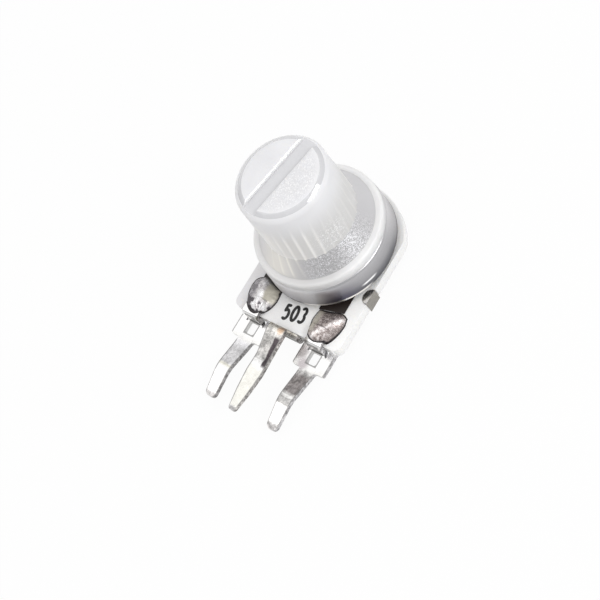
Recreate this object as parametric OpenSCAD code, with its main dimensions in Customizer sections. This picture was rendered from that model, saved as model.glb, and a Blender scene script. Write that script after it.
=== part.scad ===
// Side-lead trimmer potentiometer with a finger knob, in millimetres.
// +Z runs along the rotor axis towards the knob, and the leads point towards -Y.
// The origin is on the rotor axis at the front face of the ceramic base.

/* [Ceramic base] */
// Width of the ceramic plate
base_w = 8.3; // [7.8:0.1:9]
// Thickness of the ceramic plate
base_t = 0.8; // [0.6:0.05:1.2]
// Distance from the rotor axis to the plate's lead edge
base_drop = 6.05; // [5.9:0.05:6.6]
// How much larger the radius of the round end is than half the width
base_crown = 0.4; // [0.1:0.05:0.8]
// Radius of the two corners at the lead edge
base_corner_r = 0.5; // [0.2:0.05:0.8]
// Radius of the half-round notch in each long edge
notch_r = 0.55; // [0.45:0.05:0.7]
// Distance of the notches below the rotor axis
notch_drop = 2.1; // [1.8:0.05:2.4]

/* [Printed layers] */
// Thickness of the resistive and silver layers
film_t = 0.05; // [0.04:0.01:0.06]
// Outer radius of the resistive horseshoe
track_r = 3.2; // [3.05:0.05:3.4]
// Width of the resistive horseshoe
track_w = 1.7; // [1.4:0.05:1.8]
// Distance from the rotor axis to the outer end of each leg of the horseshoe
track_drop = 3.7; // [3.6:0.05:3.9]
// Slope of the line where each leg meets its silver pad, in degrees
pad_slope = 12; // [5:1:20]
// Size of each silver pad as a share of the solder joint over it
pad_share = 0.96; // [0.85:0.01:1]

/* [Outer terminals] */
// Distance between the two outer leads
lead_pitch = 5; // [4.8:0.05:5.2]
// Thickness of the terminal sheet
sheet_t = 0.3; // [0.2:0.02:0.36]
// Width of each shoulder plate
shoulder_w = 2.4; // [2.2:0.05:2.5]
// How far the shoulder plate stands out below the ceramic
shoulder_drop = 1.55; // [1.4:0.05:2]
// Radius of the shoulder plate's lower corners and of the fillets beside the leg
shoulder_corner_r = 0.16; // [0.08:0.01:0.2]
// Width of the window in the shoulder plate
window_w = 0.7; // [0.6:0.02:0.8]
// Height of the window
window_h = 0.84; // [0.7:0.02:0.9]
// Radius of the window's corners
window_corner_r = 0.16; // [0.08:0.01:0.25]
// Width of the tab that hooks round to the front of the ceramic
tab_w = 1.2; // [0.9:0.05:1.3]
// Length of the tab on the front of the ceramic
tab_reach = 0.9; // [0.6:0.05:1.2]
// Length of the two prongs behind the ceramic
prong_reach = 1.5; // [1:0.1:2]
// Width of the slit on each side of the tab
tab_slit = 0.12; // [0.08:0.01:0.16]
// Width of a leg where it leaves the shoulder
leg_w = 1.1; // [0.9:0.05:1.2]
// Width of a leg near its tip
leg_tip_w = 0.8; // [0.6:0.05:0.9]
// Drop of a leg from the shoulder to its kink
leg_upper = 2.25; // [1.8:0.05:2.6]
// Drop of a leg from its kink to its tip
leg_lower = 1.95; // [1.6:0.05:2.4]
// Length of the soft bend on each side of a lead's kink
kink_ease = 0.45; // [0.2:0.05:0.6]
// How far the kink stands forward of the shoulder plate
kink_forward = 0.55; // [0.3:0.05:0.7]
// How far the tip falls back from the kink
tip_back = 0.42; // [0.2:0.02:0.6]

/* [Collector and middle lead] */
// Insulating gap between the collector and each shoulder plate
insulation = 0.2; // [0.15:0.01:0.3]
// Radius of the collector's round middle
collector_r = 2.3; // [2.1:0.05:2.6]
// Width of the arm that reaches to each edge notch
ear_w = 0.8; // [0.6:0.05:0.85]
// Gap between each notch and the ear staked in it
ear_gap = 0.04; // [0.02:0.01:0.08]
// Width of the middle lead where it leaves the fold
pin_w = 1.35; // [1.1:0.05:1.5]
// Width of the middle lead at its kink
pin_neck_w = 1.05; // [0.9:0.05:1.1]
// How far the middle lead stands in front of the ceramic where it turns down
pin_forward = 0.5; // [0.4:0.05:1.2]
// Distance of the middle lead behind that at its kink
pin_lean = 0.35; // [0.2:0.05:0.8]
// Drop of the middle lead from the fold to its kink
pin_upper = 1.95; // [1.6:0.05:2.4]
// Drop of the middle lead from its kink to its tip
pin_lower = 3.8; // [3:0.05:4]

/* [Solder joints] */
// Size of each solder joint on the ceramic, as its mean radius
solder_r = 1.2; // [1.05:0.01:1.22]
// Height of each solder joint above the ceramic
solder_h = 0.62; // [0.55:0.01:0.75]
// Radius at which the joint's dome would run out
solder_reach = 1.55; // [1.5:0.01:1.7]
// Distance of the solder joints from the lead edge of the ceramic
solder_up = 1.27; // [1.25:0.01:1.35]

/* [Hub rivet] */
// Outer radius of the rivet's tube
hub_r = 1.1; // [0.9:0.05:1.15]
// Radius of the rivet's bore
hub_bore_r = 0.7; // [0.5:0.05:0.8]
// Radius of the rivet's rear flange
hub_flange_r = 1.6; // [1.5:0.05:1.8]
// Thickness of the rivet's rear flange
hub_flange_t = 0.25; // [0.2:0.01:0.35]
// Radius of the rolled head inside the cap
hub_head_r = 1.55; // [1.45:0.05:1.6]
// Thickness of the rolled head
hub_head_t = 0.2; // [0.15:0.01:0.25]
// Running clearance round the rivet and behind the collector
run_clear = 0.05; // [0.03:0.01:0.08]

/* [Rotor cap and wiper] */
// Thickness of the cap's sheet
cap_t = 0.2; // [0.16:0.01:0.22]
// How far the cap's rim stands out past the long edges of the ceramic
rim_past = 0.18; // [0.1:0.01:0.3]
// Height of the rim above the ceramic
rim_z = 0.5; // [0.45:0.01:0.6]
// Radius of the flat floor that the rivet clamps
floor_r = 1.95; // [1.9:0.01:2]
// Height of the floor's underside above the ceramic
floor_z = 0.3; // [0.27:0.01:0.34]
// Thickness of the wiper spring
wiper_t = 0.12; // [0.08:0.01:0.14]
// Width of each wiper finger
finger_w = 0.32; // [0.2:0.01:0.34]
// Gap between neighbouring wiper fingers
finger_gap = 0.12; // [0.08:0.01:0.14]
// Gap between the wiper's contact points and the track
wiper_clear = 0.02; // [0.02:0.005:0.03]

/* [Knob] */
// Height of the knob's top above the ceramic
knob_top_z = 8.65; // [7.8:0.05:9.5]
// Radius of the knob at its top
knob_top_r = 2.87; // [2.6:0.01:2.9]
// Radius of the knob's grip where it meets the sloping skirt
knob_base_r = 2.98; // [2.93:0.01:3.1]
// Height of that meeting line above the ceramic
knob_base_z = 4.05; // [3.9:0.01:4.2]
// Radius of the rounded top edge
knob_round_r = 0.36; // [0.2:0.01:0.45]
// How far the knob's flange stays inside the cap's rim
flange_inset = 0.16; // [0.1:0.01:0.2]
// Height of the flange's underside above the ceramic
flange_z = 2.32; // [2.28:0.01:2.36]
// Thickness of the flange's edge
flange_t = 0.62; // [0.55:0.01:0.7]
// Width of the flat ring on top of the flange
flange_ring_w = 0.42; // [0.34:0.01:0.46]
// Radius of the flange's rounded upper edge
flange_round_r = 0.16; // [0.1:0.01:0.2]
// Clearance between the knob and the cap that it sits on
knob_clear = 0.03; // [0.02:0.005:0.05]
// Free height between the rivet's rolled head and the knob
head_room = 0.12; // [0.08:0.01:0.2]
// Number of fine ribs round the grip
rib_count = 30; // [24:1:36]
// Radius of each rib
rib_r = 0.13; // [0.1:0.01:0.15]
// How far each rib's foot stands out of the grip
rib_out = 0.06; // [0.04:0.01:0.1]
// Height of the ribs above the sloping skirt
rib_h = 2.7; // [2:0.1:3.2]
// Width of the screwdriver slot
slot_w = 1.05; // [0.6:0.05:1.3]
// Depth of the screwdriver slot, which ends in the knob's rounded edge
slot_d = 0.22; // [0.2:0.02:0.34]
// Angle of the slot at rest, from straight up, in degrees
slot_turn = -11.5; // [-90:0.5:90]

/* [Hidden] */
$fn = 64;

// Extra length of a cutting tool past the faces that it cuts
over = 1;
// Gap between the ceramic's lead edge and the metal folded under it
fold_gap = 0.03;
// Inner radius of every fold in the terminal sheet
fold_r = 0.1;
// Flats along each fold
fold_steps = 6;
// How deep the ribs' feet reach into the sloping skirt
rib_sink = 0.05;

half_w = base_w / 2;
top_r = half_w + base_crown;
rim_r = half_w + rim_past;
flange_r = rim_r - flange_inset;
rear_z = -base_t;
plate_z = rear_z - sheet_t;
sheet_mid_z = rear_z - sheet_t / 2;
fold_y = -base_drop - fold_gap - sheet_t / 2;
bend_r = fold_r + sheet_t / 2;
shoulder_y = -base_drop - shoulder_drop;
lead_x = lead_pitch / 2;

track_in = track_r - track_w;
pad_rise = tan(pad_slope);

strip_half = lead_x - shoulder_w / 2 - insulation;
hole_r = hub_r + run_clear;

floor_mid_z = floor_z + cap_t / 2;
shoulder_mid_z = flange_z - knob_clear - cap_t / 2;
// How far the crest of the cap lies below the foot of the knob's grip
crest_drop = 1.05;
// Step outwards along the cap's well wall, and from there to its crest
well_flare = 0.5;
crest_step = [0.3, 0.25];
// Rounding where the cap's flat shoulder turns down into its skirt
shoulder_round = [0.12, 0.14];
// How much wider the cap's skirt is at its rim than at its shoulder
skirt_flare = 0.08;
// Width of the flat part of the cap's shoulder
shoulder_flat = 0.31;
crest_z = knob_base_z - crest_drop;
crest_r = floor_r + well_flare + crest_step[0];
skirt_r = rim_r - cap_t / 2;
skirt_top_r = skirt_r - skirt_flare;
shoulder_end_r = skirt_top_r - shoulder_round[0];
cap_line = [
    [hub_r, floor_mid_z], [floor_r, floor_mid_z], [floor_r + well_flare, crest_z - crest_step[1]],
    [crest_r, crest_z], [shoulder_end_r - shoulder_flat, shoulder_mid_z], [shoulder_end_r, shoulder_mid_z],
    [skirt_top_r, shoulder_mid_z - shoulder_round[1]], [skirt_r, rim_z + cap_t / 2]
];

track_mid_r = track_r - track_w / 2;
finger_z = floor_z - wiper_t / 2;
contact_z = film_t + wiper_clear + wiper_t / 2;

// Points of an arc about a centre, from one angle to another
function arc(centre, r, from, to) = [
    for (i = [0:fold_steps]) let (a = from + (to - from) * i / fold_steps) centre + r * [cos(a), sin(a)]
];

function unit(v) = v / norm(v);

// A line of points whose inner corners become soft bends that start and end at a distance from them
function eased(p, distance) = [
    p[0],
    for (i = [1:len(p) - 2])
        let (a = p[i] - distance * unit(p[i] - p[i - 1]), b = p[i] + distance * unit(p[i + 1] - p[i]))
            for (k = [0:fold_steps])
                let (s = k / fold_steps) (1 - s) * (1 - s) * a + 2 * s * (1 - s) * p[i] + s * s * b,
    p[len(p) - 1]
];

// The line beside a line of points, at a distance to its left
function beside(p, distance) = [
    for (i = [0:len(p) - 1])
        let (before = unit(i > 0 ? p[i] - p[i - 1] : p[1] - p[0]))
            let (after = unit(i < len(p) - 1 ? p[i + 1] - p[i] : p[i] - p[i - 1]))
                let (along = unit(before + after))
                    p[i] + distance / (along * before) * [-along[1], along[0]]
];

// Points of a half outline, followed by their mirror images in X
function both_sides(half) = concat(half, [for (i = [len(half) - 1:-1:0]) [-half[i][0], half[i][1]]]);

// A band of even thickness along a line of points
module band(points, t) {
    other = beside(points, -t / 2);
    polygon(concat(beside(points, t / 2), [for (i = [len(other) - 1:-1:0]) other[i]]));
}

// A rectangle centred on the origin, with round corners
module soft_rectangle(w, h, r) {
    square([w, h - 2 * r], center = true);
    square([w - 2 * r, h], center = true);
    for (x = [-1, 1], y = [-1, 1]) translate([x * (w / 2 - r), y * (h / 2 - r)]) circle(r = r);
}

// Turns a side view drawn as (Y, Z) into a solid of width w centred on X
module across(w) {
    rotate([90, 0, 90]) translate([0, 0, -w / 2]) linear_extrude(w) children();
}

// Extrudes a front view drawn as (X, Y) through the whole depth of the part
module front_cut() {
    cut_reach = base_w;
    translate([0, 0, -cut_reach]) linear_extrude(2 * cut_reach) children();
}

module mirrored_x() {
    children();
    mirror([1, 0, 0]) children();
}

// Ceramic plate: straight sides, a round end, two edge notches and the hub hole
module ceramic_base() {
    inset = half_w - base_corner_r;
    color("whitesmoke") translate([0, 0, rear_z]) linear_extrude(base_t) difference() {
        union() {
            intersection() {
                circle(r = top_r, $fn = 128);
                translate([-half_w, 0]) square([base_w, top_r]);
            }
            translate([-half_w, -base_drop + base_corner_r]) square([base_w, base_drop]);
            translate([-inset, -base_drop]) square([2 * inset, base_drop]);
            for (x = [-inset, inset])
                translate([x, -base_drop + base_corner_r]) circle(r = base_corner_r);
        }
        mirrored_x() translate([half_w, -notch_drop]) circle(r = notch_r);
        circle(r = hole_r);
    }
}

// Region above the sloping line where the legs of the horseshoe end
module above_pads() {
    reach = base_w;
    mirrored_x() polygon([
        [0, reach], [0, -track_drop - track_r * pad_rise],
        [reach, -track_drop - (track_r - reach) * pad_rise], [reach, reach]
    ]);
}

// Black resistive horseshoe printed on the ceramic
module resistive_track() {
    color("black") linear_extrude(film_t) intersection() {
        difference() {
            union() {
                circle(r = track_r);
                translate([-track_r, -base_drop]) square([2 * track_r, base_drop]);
            }
            circle(r = track_in);
            translate([-track_in, -base_drop]) square([2 * track_in, base_drop]);
        }
        above_pads();
    }
}

// Outlines of the two solder joints, as shares of their mean radius; the first number points outwards
function left_shape() = [
    [0.66, -0.58], [0.84, -0.04], [0.9, 0.44], [0.88, 0.81], [0.49, 1.03], [-0.11, 0.97], [-0.68, 0.71],
    [-0.98, 0.35], [-1.09, -0.08], [-1, -0.54], [-0.62, -0.95], [-0.07, -0.94], [0.36, -0.86]
];
function right_shape() = [
    [-0.61, -0.64], [-0.86, -0.16], [-0.88, 0.25], [-0.52, 0.57], [0.01, 0.74], [0.61, 0.76],
    [1.06, 0.55], [1.19, 0.15], [1.08, -0.36], [0.75, -0.8], [0.26, -1.01], [-0.22, -0.93]
];

// Front view of a solder joint, scaled by a share
module joint_outline(shape, share) {
    translate([lead_x, -base_drop + solder_up]) polygon(solder_r * share * shape);
}

// Silver pad under one solder joint, on the +X side
module electrode(shape) {
    color("silver") linear_extrude(film_t) difference() {
        joint_outline(shape, pad_share);
        above_pads();
    }
}

module left_electrode() {
    mirror([1, 0, 0]) electrode(left_shape());
}

module right_electrode() {
    electrode(right_shape());
}

// Side line of the tab that hooks under the ceramic and up its front face
tab_front_z = film_t + sheet_t / 2;
slit_y = fold_y - bend_r;
tab_line = concat(
    [[slit_y - 0.2, sheet_mid_z]],
    arc([slit_y, sheet_mid_z + bend_r], bend_r, -90, 0),
    arc([fold_y + bend_r, tab_front_z - bend_r], bend_r, 180, 90),
    [[-base_drop + tab_reach, tab_front_z]]
);

// Front tab of an outer terminal, centred on X
module front_tab() {
    across(tab_w) band(tab_line, sheet_t);
}

// Fillet between the shoulder's lower edge and the leg's +X side
module leg_fillet() {
    difference() {
        square([shoulder_corner_r, shoulder_corner_r + shoulder_corner_r]);
        translate([shoulder_corner_r, 0]) circle(r = shoulder_corner_r);
    }
}

// Front outline of the shoulder plate and its two prongs
module shoulder_outline() {
    corner_x = shoulder_w / 2 - shoulder_corner_r;
    corner_y = shoulder_y + shoulder_corner_r;
    height = shoulder_drop + prong_reach - shoulder_corner_r;
    translate([-shoulder_w / 2, corner_y]) square([shoulder_w, height]);
    translate([-corner_x, shoulder_y]) square([2 * corner_x, height]);
    for (x = [-corner_x, corner_x]) translate([x, corner_y]) circle(r = shoulder_corner_r);
    mirrored_x() translate([leg_w / 2, shoulder_y - shoulder_corner_r]) leg_fillet();
}

// Shoulder plate and its two prongs behind the ceramic
module shoulder_plate() {
    slit_w = tab_w + 2 * tab_slit;
    translate([0, 0, plate_z]) linear_extrude(sheet_t) difference() {
        shoulder_outline();
        translate([-slit_w / 2, slit_y]) square([slit_w, base_drop]);
    }
}

// Window punched at the root of the tab, before the tab was bent
module window() {
    window_mid_y = slit_y + 0.1 - window_h / 2;
    translate([0, window_mid_y, plate_z - over]) linear_extrude(over + sheet_t)
        soft_rectangle(window_w, window_h, window_corner_r);
}

// Side line of a leg, from the shoulder plate to the tip
kink_y = shoulder_y - leg_upper;
tip_y = kink_y - leg_lower;
leg_line = eased([
    [shoulder_y + 0.4, sheet_mid_z], [shoulder_y - 0.2, sheet_mid_z],
    [kink_y, sheet_mid_z + kink_forward], [tip_y, sheet_mid_z + kink_forward - tip_back]
], kink_ease);

// Front outline of a leg: straight to the kink, then narrowing to a blunt round tip
module leg_outline() {
    tip_r = leg_tip_w * 0.42;
    polygon(both_sides(concat(
        [[leg_w / 2, shoulder_y + over], [leg_w / 2, shoulder_y - 0.3], [leg_w / 2 - 0.06, kink_y]],
        arc([leg_tip_w / 2 - tip_r, tip_y + tip_r], tip_r, 0, -90)
    )));
}

// One outer terminal, centred on X
module outer_terminal() {
    color("silver") difference() {
        union() {
            shoulder_plate();
            front_tab();
            intersection() {
                across(leg_w) band(leg_line, sheet_t);
                front_cut() leg_outline();
            }
        }
        window();
    }
}

module left_terminal() {
    translate([-lead_x, 0, 0]) outer_terminal();
}

module right_terminal() {
    translate([lead_x, 0, 0]) outer_terminal();
}

// Side line of the collector's fold and of the middle lead that comes out of it
pin_kink_y = fold_y - pin_upper;
pin_tip_y = pin_kink_y - pin_lower;
pin_tip_z = pin_forward - pin_lean;
pin_fall = atan2(pin_lean, pin_upper - bend_r);
pin_bend_end = arc([fold_y - bend_r, pin_forward - bend_r], bend_r, 0, 90 + pin_fall);
pin_line = concat(
    [[fold_y + 1, sheet_mid_z]],
    arc([fold_y + bend_r, sheet_mid_z + bend_r], bend_r, -90, -180),
    pin_bend_end,
    [for (i = [1:fold_steps + 2])
        eased([pin_bend_end[fold_steps], [pin_kink_y, pin_tip_z], [pin_tip_y, pin_tip_z]], kink_ease)[i]]
);

// Front outline of the middle lead: a neck, a leaf and a narrow rounded tip
module pin_outline() {
    neck = pin_neck_w / 2;
    tip_r = 0.2;
    tip_flat = 0.06;
    polygon(both_sides(concat(
        [[pin_w / 2, fold_y + over], [pin_w / 2, fold_y - 0.3], [neck, pin_kink_y]],
        [[neck + 0.04, pin_kink_y - pin_lower * 0.3], [neck * 0.85, pin_kink_y - pin_lower * 0.65]],
        arc([tip_flat, pin_tip_y + tip_r], tip_r, -10, -90)
    )));
}

// Ear of the collector, staked flush into the notch on the +X side
module ear() {
    ear_top = -0.04;
    translate([0, 0, plate_z]) linear_extrude(ear_top - plate_z) intersection() {
        translate([half_w, -notch_drop]) circle(r = notch_r - ear_gap);
        translate([half_w - notch_r, -notch_drop - notch_r]) square([notch_r - ear_gap, 2 * notch_r]);
    }
}

// Collector plate behind the ceramic, keyed into both notches and folded into the middle lead
module collector_terminal() {
    ear_out = half_w - ear_gap;
    color("silver") union() {
        translate([0, 0, plate_z]) linear_extrude(sheet_t) difference() {
            union() {
                circle(r = collector_r);
                translate([-ear_out, -notch_drop - ear_w / 2]) square([2 * ear_out, ear_w]);
                translate([-strip_half, -base_drop + bend_r])
                    square([2 * strip_half, base_drop - bend_r]);
            }
            circle(r = hole_r);
        }
        mirrored_x() ear();
        intersection() {
            across(2 * strip_half) band(pin_line, sheet_t);
            translate([-strip_half, fold_y - sheet_t, plate_z - over])
                cube([2 * strip_half, base_drop, over - plate_z - 0.05]);
        }
        intersection() {
            across(pin_w) band(pin_line, sheet_t);
            front_cut() pin_outline();
        }
    }
}

// Domed solder joint over the front tab on the +X side
module solder_joint(shape) {
    ball_r = (solder_reach * solder_reach + solder_h * solder_h) / (2 * solder_h);
    color("gray") difference() {
        intersection() {
            translate([lead_x, -base_drop + solder_up, film_t + solder_h - ball_r])
                sphere(r = ball_r, $fn = 96);
            translate([0, 0, film_t]) linear_extrude(solder_h + over) joint_outline(shape, 1);
        }
        translate([lead_x, 0, 0]) front_tab();
    }
}

module left_solder() {
    mirror([1, 0, 0]) solder_joint(left_shape());
}

module right_solder() {
    solder_joint(right_shape());
}

// Hollow rivet: rear flange, tube through the ceramic, and a head rolled over the cap's floor
module hub_rivet() {
    flange_top = plate_z - run_clear;
    flange_low = flange_top - hub_flange_t;
    head_z = floor_z + cap_t;
    length = head_z + hub_head_t - flange_low;
    color("silver") difference() {
        union() {
            translate([0, 0, flange_low]) cylinder(r = hub_flange_r, h = hub_flange_t);
            translate([0, 0, flange_low]) cylinder(r = hub_r, h = length);
            translate([0, 0, head_z]) cylinder(r = hub_head_r, h = hub_head_t);
        }
        translate([0, 0, flange_low - over]) cylinder(r = hub_bore_r, h = length + 2 * over);
    }
}

// Metal cap: clamped floor, well, sloping shoulder, skirt and rim, spun from one sheet
module rotor_cap() {
    color("gray") rotate_extrude($fn = 128) band(cap_line, cap_t);
}

// Spring ring with three fingers that press on the track
module wiper_spring() {
    pitch = finger_w + finger_gap;
    line = [
        [floor_r - 0.3, finger_z], [floor_r, finger_z], [track_mid_r, contact_z],
        [track_mid_r + 0.3, finger_z - 0.02]
    ];
    color("goldenrod") rotate(slot_turn) union() {
        translate([0, 0, floor_z - wiper_t]) linear_extrude(wiper_t) difference() {
            circle(r = floor_r - 0.05);
            circle(r = hub_r);
        }
        for (i = [-1:1]) translate([i * pitch, 0, 0]) across(finger_w) band(line, wiper_t);
    }
}

// Space that the cap and everything under its shoulder needs below the knob
module cap_space() {
    last = len(cap_line) - 1;
    band(cap_line, cap_t + 2 * knob_clear);
    polygon(concat([for (i = [1:last]) cap_line[i]], [[skirt_r, -over], [floor_r, -over]]));
    head_space = floor_z + cap_t + hub_head_t + head_room;
    translate([0, -over]) square([hub_head_r + knob_clear, head_space + over]);
}

// Outline of the knob, drawn as radius and height
module knob_outline() {
    flange_top = flange_z + flange_t;
    side_slope = (knob_base_r - knob_top_r) / (knob_top_z - knob_base_z);
    side_r = knob_top_r + side_slope * knob_round_r;
    round_mid_z = knob_top_z - knob_round_r;
    plug_z = floor_z + cap_t + knob_clear;
    polygon([
        [0, plug_z], [floor_r, plug_z], [floor_r + well_flare, flange_z], [flange_r, flange_z],
        [flange_r, flange_top - flange_round_r], [flange_r - flange_round_r, flange_top],
        [flange_r - flange_ring_w, flange_top], [knob_base_r, knob_base_z],
        [side_r, round_mid_z], [knob_top_r - knob_round_r, knob_top_z], [0, knob_top_z]
    ]);
    translate([flange_r - flange_round_r, flange_top - flange_round_r]) circle(r = flange_round_r);
    translate([side_r - knob_round_r, round_mid_z]) circle(r = knob_round_r);
}

// One fine rib that runs up the grip and fades into it
module rib() {
    foot_r = knob_base_r - rib_r + rib_out;
    head_r = knob_base_r - (knob_base_r - knob_top_r) * rib_h / (knob_top_z - knob_base_z) - rib_r;
    lean = atan2(foot_r - head_r, rib_h);
    foot_z = knob_base_z - rib_sink;
    translate([foot_r, 0, foot_z]) rotate([0, -lean, 0]) cylinder(r = rib_r, h = rib_h, $fn = 24);
}

// Knob with its flange, ribs and screwdriver slot, moulded in one piece
module knob() {
    color("white") rotate(slot_turn) difference() {
        union() {
            rotate_extrude($fn = 128) difference() {
                knob_outline();
                cap_space();
            }
            for (i = [0:rib_count - 1]) rotate(i * 360 / rib_count) rib();
        }
        translate([-slot_w / 2, -flange_r, knob_top_z - slot_d])
            cube([slot_w, 2 * flange_r, slot_d + over]);
    }
}

ceramic_base();
resistive_track();
left_electrode();
right_electrode();
left_terminal();
right_terminal();
collector_terminal();
left_solder();
right_solder();
hub_rivet();
rotor_cap();
wiper_spring();
knob();
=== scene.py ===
"""Looks of a small side-lead trimmer potentiometer with a milky finger knob.

Lengths are written in millimetres in the part's own frame and turned into metres by MM.
+Z runs along the rotor axis towards the knob, and the leads point towards -Y.
"""

import math

import bmesh
import bpy
from mathutils import Matrix, Vector, noise


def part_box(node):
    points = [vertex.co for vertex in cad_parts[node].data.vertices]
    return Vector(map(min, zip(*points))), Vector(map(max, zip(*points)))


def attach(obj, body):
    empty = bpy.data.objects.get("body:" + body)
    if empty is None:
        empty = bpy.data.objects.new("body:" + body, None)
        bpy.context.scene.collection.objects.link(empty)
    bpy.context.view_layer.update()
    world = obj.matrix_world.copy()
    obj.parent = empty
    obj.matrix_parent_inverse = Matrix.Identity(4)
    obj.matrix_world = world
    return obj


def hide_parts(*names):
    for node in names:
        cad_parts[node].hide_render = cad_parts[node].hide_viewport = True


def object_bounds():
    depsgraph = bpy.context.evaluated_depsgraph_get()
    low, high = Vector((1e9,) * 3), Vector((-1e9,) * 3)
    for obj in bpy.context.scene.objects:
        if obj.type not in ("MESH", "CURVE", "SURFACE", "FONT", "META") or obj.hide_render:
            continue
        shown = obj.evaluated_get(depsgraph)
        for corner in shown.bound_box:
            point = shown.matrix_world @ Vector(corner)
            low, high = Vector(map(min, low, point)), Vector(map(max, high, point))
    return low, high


MM = 0.001

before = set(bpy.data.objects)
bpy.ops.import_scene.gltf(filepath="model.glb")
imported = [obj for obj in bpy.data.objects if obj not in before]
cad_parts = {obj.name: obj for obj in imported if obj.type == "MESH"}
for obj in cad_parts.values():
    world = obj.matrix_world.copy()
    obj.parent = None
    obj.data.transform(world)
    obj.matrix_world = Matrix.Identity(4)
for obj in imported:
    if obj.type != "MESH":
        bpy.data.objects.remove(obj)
cad_box = [list(corner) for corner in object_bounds()]


def node_box(name):
    """Lowest and highest corner of a CAD node, in millimetres."""
    low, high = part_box(name)
    return low / MM, high / MM


def link(made):
    """Puts an object into the scene."""
    bpy.context.scene.collection.objects.link(made)


# Sizes read from the frame
knob_high = node_box("knob")[1]
right_low, right_high = node_box("right_terminal")

LEAD_EDGE_Y = node_box("ceramic_base")[0].y
KNOB_TOP_Z = knob_high.z
FLANGE_R = knob_high.x
RIM_R = node_box("rotor_cap")[1].x
LEAD_X = (right_low.x + right_high.x) / 2
FLOOR_Z = min(corner[2] for corner in cad_box) / MM


# Camera, fitted to edges of the object in the 600 by 600 photograph
CAMERA_MM = Vector((35.845, -16.283, 55.854))
IMAGE_RIGHT = Vector((0.76966, 0.51140, -0.38222))
IMAGE_DOWN = Vector((0.35390, -0.84001, -0.41127))
FOCAL_PX = 1100
IMAGE_PX = 600
SENSOR_MM = 36

camera_data = bpy.data.cameras.new("camera")
camera_data.sensor_width = SENSOR_MM
camera_data.lens = FOCAL_PX / IMAGE_PX * SENSOR_MM
camera_data.clip_start = 0.002
camera_data.clip_end = 10
camera = bpy.data.objects.new("camera", camera_data)
link(camera)
back_axis = IMAGE_RIGHT.cross(-IMAGE_DOWN).normalized()
up_axis = back_axis.cross(IMAGE_RIGHT).normalized()
turn = Matrix((IMAGE_RIGHT.normalized(), up_axis, back_axis)).transposed()
camera.matrix_world = Matrix.Translation(CAMERA_MM * MM) @ turn.to_4x4()
bpy.context.scene.camera = camera


def light(name, azimuth, elevation, distance, size, radiance, colour=(1, 1, 1)):
    """Area lamp that looks at the object. radiance is what a mirror would show of it."""
    data = bpy.data.lights.new(name, "AREA")
    data.shape = "RECTANGLE"
    data.size, data.size_y = size
    data.energy = radiance * math.pi * size[0] * size[1]
    data.color = colour
    lamp = bpy.data.objects.new(name, data)
    link(lamp)
    a, e = math.radians(azimuth), math.radians(elevation)
    towards = Vector((math.sin(a) * math.cos(e), -math.cos(a) * math.cos(e), math.sin(e)))
    lamp.location = towards * distance
    lamp.rotation_mode = "QUATERNION"
    lamp.rotation_quaternion = towards.to_track_quat("Z", "Y")


light("key", azimuth=101, elevation=38, distance=0.16, size=(0.1, 0.025), radiance=9)
light("fill", azimuth=-40, elevation=50, distance=0.2, size=(0.12, 0.12), radiance=0.65,
      colour=(1, 0.97, 0.94))


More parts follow.
